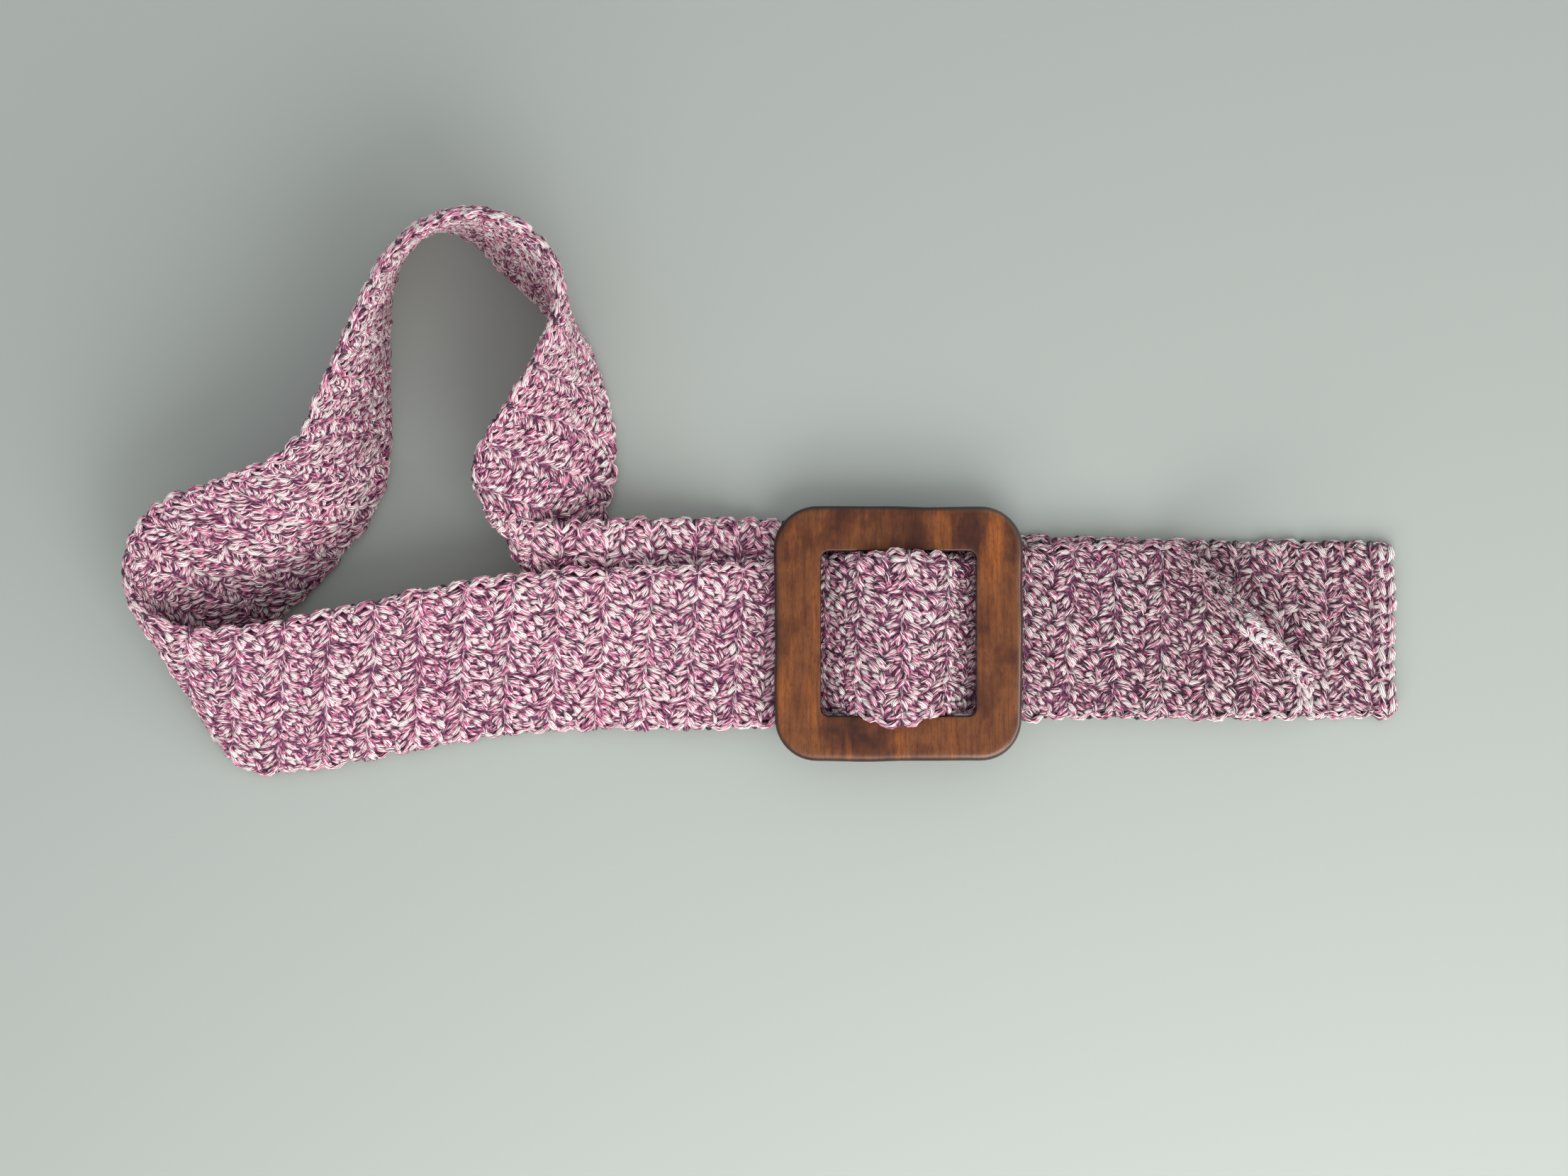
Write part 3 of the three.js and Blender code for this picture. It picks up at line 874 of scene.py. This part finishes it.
def random_value(tree, kind, low, high, seed, identity=None):
    first, output = {"FLOAT_VECTOR": (0, 0), "FLOAT": (2, 1), "INT": (4, 2)}[kind]
    inputs = {first: low, first + 1: high, 8: seed}
    if identity is not None:
        inputs[7] = identity
    return node(tree, "FunctionNodeRandomValue", inputs, data_type=kind).outputs[output]


def vector_maths(tree, operation, a, b):
    inputs = {0: a, "Scale" if operation == "SCALE" else 1: b}
    return node(tree, "ShaderNodeVectorMath", inputs, operation=operation).outputs[0]


def flat_field(
    tree, shapes, counts, start, seed, middle_out=0.0, turn=(0.0, 0.0, 0.0),
    spacing=(RIB_SPACING, STITCH_SPACING), drift=0.0, shake=0.3, turn_shake=0.1,
):
    """Instances of shapes in a rectangle of rows, measured in millimetres. Counts and
    spacing are along and across the strap."""
    length, width = ((count - 1) * gap * MM for count, gap in zip(counts, spacing))
    grid = node(tree, "GeometryNodeMeshGrid", {
        "Vertices X": counts[0], "Vertices Y": counts[1], "Size X": length, "Size Y": width,
    })
    index = tree.nodes.new("GeometryNodeInputIndex").outputs[0]
    row = maths(tree, "DIVIDE", maths(tree, "ADD", index, 0.5), float(counts[1]))
    drifted = random_value(tree, "FLOAT", -1.0, 1.0, seed, maths(tree, "FLOOR", row))
    out = maths(tree, "MULTIPLY_ADD", drifted, drift * MM, middle_out * MM)
    shaken = random_value(tree, "FLOAT_VECTOR", (-1, -1, -0.4), (1, 1, 0.4), seed)
    shaken = vector_maths(tree, "SCALE", shaken, shake * MM)
    place = combine(tree, start * MM + length / 2, out, 0.0)
    moved = node(tree, "GeometryNodeSetPosition", {
        "Geometry": grid.outputs["Mesh"], "Offset": vector_maths(tree, "ADD", shaken, place),
    })
    angle = random_value(tree, "FLOAT", -1.0, 1.0, seed + 7)
    angle = combine(tree, 0.0, 0.0, maths(tree, "MULTIPLY", angle, turn_shake))
    angle = vector_maths(tree, "ADD", turn, angle)
    bigger = random_value(tree, "FLOAT", -1.0, 1.0, seed + 13)
    placed = node(tree, "GeometryNodeInstanceOnPoints", {
        "Points": moved.outputs[0],
        "Instance": node(tree, "GeometryNodeCollectionInfo", {
            "Collection": shapes, "Separate Children": True, "Reset Children": True,
        }).outputs[0],
        "Pick Instance": True,
        "Instance Index": random_value(tree, "INT", 0, VARIANTS - 1, seed),
        "Rotation": node(tree, "FunctionNodeEulerToRotation", {0: angle}).outputs[0],
        "Scale": maths(tree, "MULTIPLY_ADD", bigger, SIZE_SHAKE, 1.0),
    })
    return node(tree, "GeometryNodeStoreNamedAttribute", {
        "Geometry": placed.outputs[0], "Name": "stitch_tone",
        "Value": random_value(tree, "FLOAT", 0.0, 1.0, seed + 29),
    }, domain="INSTANCE").outputs[0]


# %% Fields laid over the cloth
HALF_TURN = math.pi
STITCHES_OUT = 25.2
END_MARGIN = 2.2


def joined(tree, geometries):
    made = tree.nodes.new("GeometryNodeJoinGeometry")
    for geometry in geometries:
        tree.links.new(geometry, made.inputs[0])
    return made.outputs[0]


def flat_parts(tree):
    """Along, out and height of every point, while the cloth is still flat."""
    return separate(tree, tree.nodes.new("GeometryNodeInputPosition").outputs[0])


def trimmed(tree, instances, widest):
    """Makes instances real, and takes out the strands whose middle lies past an end of the
    strap or further out than `widest`."""
    real = node(tree, "GeometryNodeRealizeInstances", {"Geometry": instances})
    parts = flat_parts(tree)
    island = tree.nodes.new("GeometryNodeInputMeshIsland").outputs["Island Index"]
    count, along, out = (
        node(tree, "GeometryNodeAccumulateField", {0: value, "Group ID": island}).outputs["Total"]
        for value in (1.0, parts[0], parts[1])
    )
    along, out = maths(tree, "DIVIDE", along, count), maths(tree, "DIVIDE", out, count)
    too_near = maths(tree, "LESS_THAN", along, END_MARGIN * MM)
    too_far = maths(tree, "GREATER_THAN", along, (STRAP_LENGTH - END_MARGIN) * MM)
    too_wide = maths(tree, "GREATER_THAN", maths(tree, "ABSOLUTE", out), widest * MM)
    off = maths(tree, "MAXIMUM", maths(tree, "MAXIMUM", too_near, too_far), too_wide)
    return node(tree, "GeometryNodeDeleteGeometry", {
        "Geometry": real.outputs[0], "Selection": off,
    }).outputs[0]


def named_vector(tree, name):
    return node(
        tree, "GeometryNodeInputNamedAttribute", {"Name": name}, data_type="FLOAT_VECTOR",
    ).outputs[0]


def laid_over_cloth(tree, geometry, material):
    """Moves every point from its flat place onto the cloth, and sets the yarn."""
    along, out, height = flat_parts(tree)
    u = maths(tree, "DIVIDE", maths(tree, "SUBTRACT", along, MAP_START), MAP_LENGTH)
    v = maths(tree, "ADD", maths(tree, "DIVIDE", out, MAP_WIDTH), 0.5)
    source = node(tree, "GeometryNodeObjectInfo", {"Object": cloth_map}).outputs["Geometry"]
    flat_place = combine(tree, u, v, 0.0)
    position, away = (
        node(tree, "GeometryNodeSampleUVSurface", {
            "Mesh": source, "Value": named_vector(tree, name),
            "UV Map": named_vector(tree, "flat"), "Sample UV": flat_place,
        }, data_type="FLOAT_VECTOR").outputs["Value"] for name in ("position", "outward")
    )
    there = vector_maths(tree, "ADD", position, vector_maths(tree, "SCALE", away, height))
    moved = node(tree, "GeometryNodeSetPosition", {"Geometry": geometry, "Position": there})
    return node(tree, "GeometryNodeSetMaterial", {
        "Geometry": moved.outputs[0], "Material": material,
    }).outputs[0]


def grown(name, tree, geometry, material):
    """An object made by a node tree that lays flat geometry over the cloth. It keeps the
    result as a plain mesh of its own."""
    tree.interface.new_socket("Geometry", in_out="OUTPUT", socket_type="NodeSocketGeometry")
    node(tree, "NodeGroupOutput", {0: laid_over_cloth(tree, geometry, material)})
    holder = bpy.data.objects.new(name, bpy.data.meshes.new(name + "_start"))
    scene.collection.objects.link(holder)
    holder.modifiers.new("nodes", "NODES").node_group = tree
    bpy.context.view_layer.update()
    depsgraph = bpy.context.evaluated_depsgraph_get()
    mesh = bpy.data.meshes.new_from_object(holder.evaluated_get(depsgraph))
    holder.modifiers.clear()
    holder.data = mesh
    mesh.name = name
    mesh.shade_smooth()
    print(name, "triangles", sum(len(p.vertices) - 2 for p in mesh.polygons))
    return holder


# %% The chains over both ends, and the small loose loop
CHAIN_SPACING = 5.2
CHAIN_LINKS_ACROSS = 10
CHAIN_MARGIN = 2.4


def end_chains(name, seed):
    tree = bpy.data.node_groups.new(name, "GeometryNodeTree")
    last_end = STRAP_LENGTH - CHAIN_MARGIN
    # the nose of a link points along, so the first end's links are turned round
    fields = [
        flat_field(
            tree, chain_links, (1, CHAIN_LINKS_ACROSS), end, seed + more,
            turn=(0.0, 0.0, turn), spacing=(RIB_SPACING, CHAIN_SPACING), turn_shake=0.08,
        ) for end, turn, more in ((CHAIN_MARGIN, HALF_TURN, 3), (last_end, 0.0, 9))
    ]
    fields.append(flat_field(tree, loose_loops, (1, 1), last_end + LOOP_RADIUS, seed))
    real = node(tree, "GeometryNodeRealizeInstances", {"Geometry": joined(tree, fields)})
    return grown(name, tree, real.outputs[0], chain_yarn_painted_lighter)


# %% Six lengths of the strap
STITCHES_ACROSS = 5
EDGE_OUT = 25.9
SECTION_NAMES = ["lower_tip", "back_strap", "right_limb", "left_limb", "front_strap", "upper_tip"]
RIBS = int(math.ceil(STRAP_LENGTH / RIB_SPACING))


def yarn_section(name, first_rib, ribs, seed):
    """The stitches of both faces and the bumps of both long edges, for some ribs."""
    tree = bpy.data.node_groups.new(name, "GeometryNodeTree")
    start = (first_rib + 0.5) * RIB_SPACING
    # the far face shows the rows between, half a rib on, with the belt turned over
    faces = [
        flat_field(
            tree, stitches, (ribs, STITCHES_ACROSS), start + shift, seed + more,
            turn=(turn, 0.0, 0.0), drift=0.6, shake=0.25, turn_shake=0.05,
        ) for turn, shift, more in ((0.0, 0.0, 0), (HALF_TURN, -RIB_SPACING / 2, 50))
    ]
    bumps = [
        flat_field(
            tree, edge_loops, (2 * ribs, 1), start - RIB_SPACING / 4, seed + more,
            middle_out=side * EDGE_OUT, turn=(0.0, 0.0, turn),
            spacing=(ROW_SPACING, STITCH_SPACING), drift=0.4,
        ) for side, turn, more in ((1, 0.0, 100), (-1, HALF_TURN, 150))
    ]
    parts = [
        trimmed(tree, joined(tree, faces), STITCHES_OUT),
        trimmed(tree, joined(tree, bumps), MAP_HALF_WIDTH),
    ]
    return grown(name, tree, joined(tree, parts), yarn)


yarn_pieces = [end_chains("yarn_end_chains", 5)]
section_starts = [round(i * RIBS / len(SECTION_NAMES)) for i in range(len(SECTION_NAMES) + 1)]
for i, name in enumerate(SECTION_NAMES):
    first, following = section_starts[i:i + 2]
    yarn_pieces.append(yarn_section("yarn_" + name, first, following - first, 11 * i + 3))

# %% [markdown]
# ## The buckle
# One piece of dark reddish hardwood, cut square with round corners and a square window.
# Its outer edge is rounded all round and nearly black, partly stained so by its finish and
# partly painted shade; the walls of its window are painted dark as shade, and its arris is
# only just broken. The frame is swept: a section with its rounded edges is carried round
# the window, and the middle bar under the strap is a rounded block.

# %% Sections round the frame
BUCKLE_SIZE = (76.0, 78.0)
WINDOW_SIZE = (47.5, 50.5)
BUCKLE_UNDERSIDE, BUCKLE_THICKNESS = 9.6, 6.9
CORNER_RADIUS, WINDOW_CORNER = 13.0, 2.5
OUTER_ROUNDING, WINDOW_ROUNDING = 2.2, 0.6
CORNER_STEPS, SIDE_STEPS = 12, 12
MIDDLE_BAR, BAR_BELOW, BAR_INTO_FRAME = 11.0, 0.1, 0.5
BAR_ROUNDING, BAR_STAIN = 1.2, 0.4
ROUNDING_STEPS = 4
FACE_SHARES = (0.08, 0.25, 0.5, 0.75, 0.92)


def rounded_square(size, radius, inset):
    """Points round a rounded rectangle, the same number for every size, anticlockwise."""
    half_size = np.array(size) / 2 - inset
    radius = max(radius - inset, 0.05)
    arcs = []
    for corner, signs in enumerate(((1, 1), (-1, 1), (-1, -1), (1, -1))):
        turn = math.pi / 2 * (corner + np.linspace(0, 1, CORNER_STEPS + 1))
        arc = radius * np.column_stack([np.cos(turn), np.sin(turn)])
        arcs.append(np.array(signs) * (half_size - radius) + arc)
    t = np.linspace(0, 1, SIDE_STEPS + 1)[1:-1, None]
    loop = []
    for arc, following in zip(arcs, arcs[1:] + arcs[:1]):
        loop += [arc, arc[-1] + (following[0] - arc[-1]) * t]
    return np.vstack(loop)


def frame_profile():
    """Loops from the window's middle over the top to the outside and back underneath.
    Each is (which edge, inset, height, stain and painted shade)."""
    middle = BUCKLE_UNDERSIDE + BUCKLE_THICKNESS / 2
    halves = []
    for sign, face in ((1, BUCKLE_UNDERSIDE + BUCKLE_THICKNESS), (-1, BUCKLE_UNDERSIDE)):
        bends = [
            (1 - math.cos(a), sign * (1 - math.sin(a)), math.cos(a))
            for a in np.linspace(0, math.pi / 2, ROUNDING_STEPS)
        ]
        halves.append([
            # painted shade on the window's walls, stain and painted shade on the outer walls
            ("window", 0.0, middle, 1.0),
            *(("window", -WINDOW_ROUNDING * b, face - WINDOW_ROUNDING * d, s) for b, d, s in bends),
            *(("between", share, face, 0.0) for share in FACE_SHARES),
            *(("outside", OUTER_ROUNDING * b, face - OUTER_ROUNDING * d, s)
              for b, d, s in bends[::-1]),
            ("outside", 0.0, middle, 1.0),
        ])
    return halves[0] + halves[1][1:-1][::-1]


def frame_wave(points):
    """The slight waviness of a hand-sanded outline."""
    turn = np.arctan2(points[:, 1], points[:, 0])
    waves = ((0.16, 3, 0.7), (0.10, 7, 2.1), (0.06, 13, 0.0))
    return sum(height * np.sin(count * turn + shift) for height, count, shift in waves)


def frame_mesh():
    """Vertices, faces, and the stain and painted shade of the frame."""
    sides = {"window": (WINDOW_SIZE, WINDOW_CORNER), "outside": (BUCKLE_SIZE, CORNER_RADIUS)}
    inner_top = rounded_square(*sides["window"], -WINDOW_ROUNDING)
    outer_top = rounded_square(*sides["outside"], OUTER_ROUNDING)
    loops, stains_and_shade = [], []
    for kind, value, height, stain_and_shade in frame_profile():
        if kind == "between":
            loop, wavy = inner_top * (1 - value) + outer_top * value, value
        else:
            loop, wavy = rounded_square(*sides[kind], value), float(kind == "outside")
        loop = loop + unit(loop) * (frame_wave(loop) * wavy)[:, None]
        loops.append(np.column_stack([loop, np.full(len(loop), height)]))
        stains_and_shade.append(np.full(len(loop), stain_and_shade))
    count, around = len(loops), len(loops[0])
    k, i = (n.ravel() for n in np.meshgrid(np.arange(count), np.arange(around), indexing="ij"))
    this, over, on = k * around, (k + 1) % count * around, (i + 1) % around
    faces = np.stack([this + i, over + i, over + on, this + on], axis=1)
    return np.vstack(loops), faces.tolist(), np.concatenate(stains_and_shade)


def bar_mesh():
    """The middle bar, under the strap: a block whose long arrises are broken. It ends just
    inside the frame and stays a hair below its face."""
    top, bottom = BUCKLE_UNDERSIDE + BUCKLE_THICKNESS - BAR_BELOW, BUCKLE_UNDERSIDE + BAR_BELOW
    r, x = BAR_ROUNDING, MIDDLE_BAR / 2
    corners = ((x - r, top - r), (r - x, top - r), (r - x, bottom + r), (x - r, bottom + r))
    section = [
        (cx + r * math.cos(a), cz + r * math.sin(a))
        for quarter, (cx, cz) in enumerate(corners)
        for a in (quarter + np.linspace(0, 1, ROUNDING_STEPS)) * math.pi / 2
    ]
    reach = WINDOW_SIZE[1] / 2 + BAR_INTO_FRAME
    points = [(sx, y, sz) for y in (-reach, reach) for sx, sz in section]
    n = len(section)
    faces = [(i, i + n, (i + 1) % n + n, (i + 1) % n) for i in range(n)]
    faces += [tuple(range(n)), tuple(range(2 * n - 1, n - 1, -1))]
    return np.array(points), faces, np.full(2 * n, BAR_STAIN)


# %% [markdown]
# The wood's colour is built from three things: long streaks that run up the frame, lighter
# and more orange than the ground; dark clouds of irregular figure; and the dark on its
# edges, stain with painted shade on the outer walls and painted shade on the window's
# walls, which the mesh carries as an attribute from the way its section was drawn.

# %% Node group: figured wood
WOOD_DARK, WOOD_MID = (0.042, 0.013, 0.009), (0.098, 0.030, 0.012)
WOOD_LIGHT, WOOD_ORANGE = (0.165, 0.056, 0.019), (0.34, 0.100, 0.020)
EDGE_STAIN_AND_SHADE = (0.012, 0.006, 0.007)
WOOD_NOISES = [
    # scale along each axis, detail, roughness
    ((120.0, 20.0, 60.0), 4.0, 0.55), ((62.0, 44.0, 60.0), 4.0, 0.6),
    ((900.0, 45.0, 300.0), 4.0, 0.65), ((2200.0, 420.0, 600.0), 3.0, 0.7),
]
WOOD_RELIEF = 0.00008
# the finish shines most on the rounded arrises, above all on the right one, along X
COAT_GAIN, COAT_LEAST = 3.0, 0.04
SHINE_SLOPE, SHINE_START, SHINE_LIMITS = 35.0, -1.6, (0.25, 1.0)


def wood_group():
    tree, given, result = shader_group("figured_wood", {"Stain and shade": 1.0}, {
        "Colour": "Color", "Roughness": "Float", "Height": "Float",
    })
    place = object_place(tree)
    streaks, clouds, grain, pores = (
        noise(tree, node(tree, "ShaderNodeMapping", {
            "Vector": place, "Scale": scale,
        }).outputs[0], 1.0, detail, roughness) for scale, detail, roughness in WOOD_NOISES
    )
    colour = ramp(tree, clouds, [
        (0.36, WOOD_DARK), (0.46, WOOD_MID), (0.56, WOOD_LIGHT), (0.74, WOOD_MID),
    ])
    # a glow in the streaks, then their dark sides, the lines of the grain and its pores
    for figure, stops, strength, over in (
        (streaks, [(0.55, 0), (0.72, 1)], 0.75, WOOD_ORANGE),
        (streaks, [(0.32, 1), (0.46, 0)], 0.6, WOOD_DARK),
        (grain, [(0.36, 1), (0.52, 0)], 0.45, WOOD_DARK),
        (pores, [(0.34, 1), (0.48, 0)], 0.5, WOOD_DARK),
    ):
        amount = maths(tree, "MULTIPLY", ramp(tree, figure, stops), strength)
        colour = mix_colour(tree, amount, colour, over)
    # the edges' dark: real stain with painted shade on the outer walls, painted shade in the window
    stain_and_shade = maths(tree, "SUBTRACT", attribute(tree, "stain_and_shade"), 0.25)
    stain_and_shade = maths(tree, "MULTIPLY_ADD", clouds, 0.5, stain_and_shade)
    stain_and_shade = maths(tree, "MULTIPLY", ramp(tree, stain_and_shade, [(0.35, 0), (0.85, 1)]), given["Stain and shade"])
    height = maths(tree, "ADD", pores, maths(tree, "MULTIPLY", streaks, 0.4))
    tree.links.new(mix_colour(tree, stain_and_shade, colour, EDGE_STAIN_AND_SHADE), result["Colour"])
    tree.links.new(maths(tree, "MULTIPLY_ADD", streaks, 0.25, 0.28), result["Roughness"])
    tree.links.new(height, result["Height"])
    return tree


wood, wood_shader = new_material("figured_hardwood")
figured = dress(wood, wood_shader, wood_group(), {"Stain and shade": 0.9}, WOOD_RELIEF)
wood_tree = wood.node_tree
wood_tree.links.new(figured["Roughness"], wood_shader.inputs["Roughness"])
shine = separate(wood_tree, object_place(wood_tree))[0]
shine = maths(wood_tree, "MULTIPLY_ADD", shine, SHINE_SLOPE, SHINE_START)
shine = limited(wood_tree, shine, *SHINE_LIMITS)
coat = maths(wood_tree, "MULTIPLY_ADD", attribute(wood_tree, "stain_and_shade"), COAT_GAIN, COAT_LEAST)
coat = maths(wood_tree, "MULTIPLY", maths(wood_tree, "MINIMUM", coat, 1.0), shine)
wood_tree.links.new(coat, wood_shader.inputs["Coat Weight"])
wood_shader.inputs["Coat Roughness"].default_value = 0.16
wood_shader.inputs["Specular IOR Level"].default_value = 0.16

# %% Make the buckle
frame_points, frame_faces, frame_stain_and_shade = frame_mesh()
bar_points, bar_faces, bar_stain = bar_mesh()
buckle_points = np.vstack([frame_points, bar_points])
buckle_faces = frame_faces + [tuple(i + len(frame_points) for i in face) for face in bar_faces]
buckle = mesh_object("wooden_buckle", to_metres(buckle_points), buckle_faces, wood)
store(buckle.data, "stain_and_shade", np.concatenate([frame_stain_and_shade, bar_stain]))

# %% [markdown]
# The map and the loose shapes were only tools. What stays is the sheet of cloth, the yarn
# on it in six lengths and the chains of both ends, and the buckle.

# %% Clear the helpers
for shapes in (stitches, edge_loops, chain_links, loose_loops):
    for helper in list(shapes.objects):
        bpy.data.objects.remove(helper)
    bpy.data.collections.remove(shapes)
bpy.data.objects.remove(cloth_map)

# %% Declare
for piece in yarn_pieces:
    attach(piece, "root")
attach(inner_cloth, "root")
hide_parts("strap")
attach(buckle, "root")
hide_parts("buckle")
